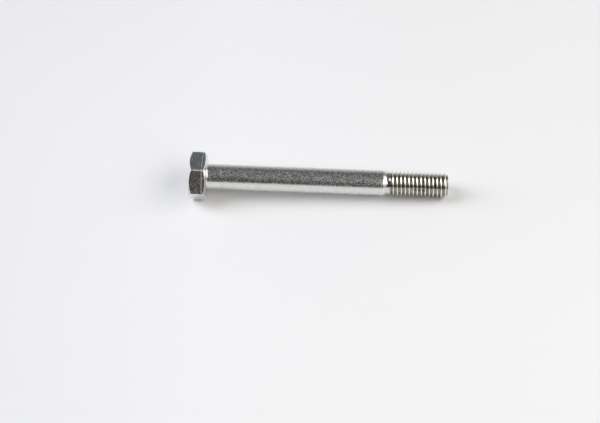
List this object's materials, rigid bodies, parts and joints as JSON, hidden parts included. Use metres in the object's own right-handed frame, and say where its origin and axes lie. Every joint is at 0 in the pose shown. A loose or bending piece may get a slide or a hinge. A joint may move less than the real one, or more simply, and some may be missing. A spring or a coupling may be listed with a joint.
{
  "type": "hex bolt",
  "caption": "Hex-head bolt with a long plain shank and a short coarse right-hand thread at its tip, in zinc-plated steel.",
  "frame": {"origin": "centre of the bearing face under the head, on the bolt's axis", "axes": "+X along the bolt's axis from the head to the threaded tip; +Z along the normal of one wrench flat, and -Z along the normal of the flat opposite it"},
  "size_m": [0.0812, 0.016, 0.0138],
  "materials": {
    "zinc_plated_steel": "bright zinc-plated steel with a fine mottled grain, satin to semi-gloss"
  },
  "bodies": {
    "root": {"hex_head": "zinc_plated_steel", "shank": "zinc_plated_steel", "threaded_end": "zinc_plated_steel"}
  },
  "joints": []
}
